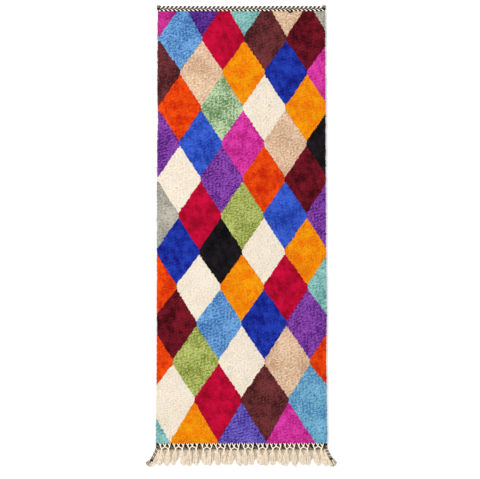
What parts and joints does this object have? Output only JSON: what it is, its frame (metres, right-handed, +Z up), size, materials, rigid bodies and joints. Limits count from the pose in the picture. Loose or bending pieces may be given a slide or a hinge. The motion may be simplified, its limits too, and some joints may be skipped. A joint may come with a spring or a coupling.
{
  "type": "berber runner rug",
  "caption": "Long flat knotted wool runner with a lattice of plain coloured diamonds, twined end braids, knots at the head corners, and a fringe with corner tassels at the foot.",
  "frame": {"origin": "on the floor, at the middle of the whole rug's footprint, fringe and corner tassels included", "axes": "+X across the rug, +Y along it to the head end, where there is no fringe, +Z up through the pile"},
  "size_m": [0.9572, 2.3282, 0.022],
  "materials": {
    "pile": "dense cut wool pile, matte, in plain dyed colours diamond by diamond",
    "braid": "twined cream and near-black wool yarns, matte",
    "corner_knot": "tight knot of tan wool yarn, matte",
    "dark_yarn": "twisted near-black wool yarn, matte",
    "fringe": "looped and twisted undyed cream wool, matte"
  },
  "bodies": {
    "root": {"pile_field": "pile", "head_braid": "braid", "foot_braid": "braid", "head_knot_left": "corner_knot", "head_knot_right": "corner_knot", "join_loop": "dark_yarn", "fringe": "fringe", "corner_tassel_left": "dark_yarn", "corner_tassel_right": "dark_yarn"}
  },
  "joints": []
}
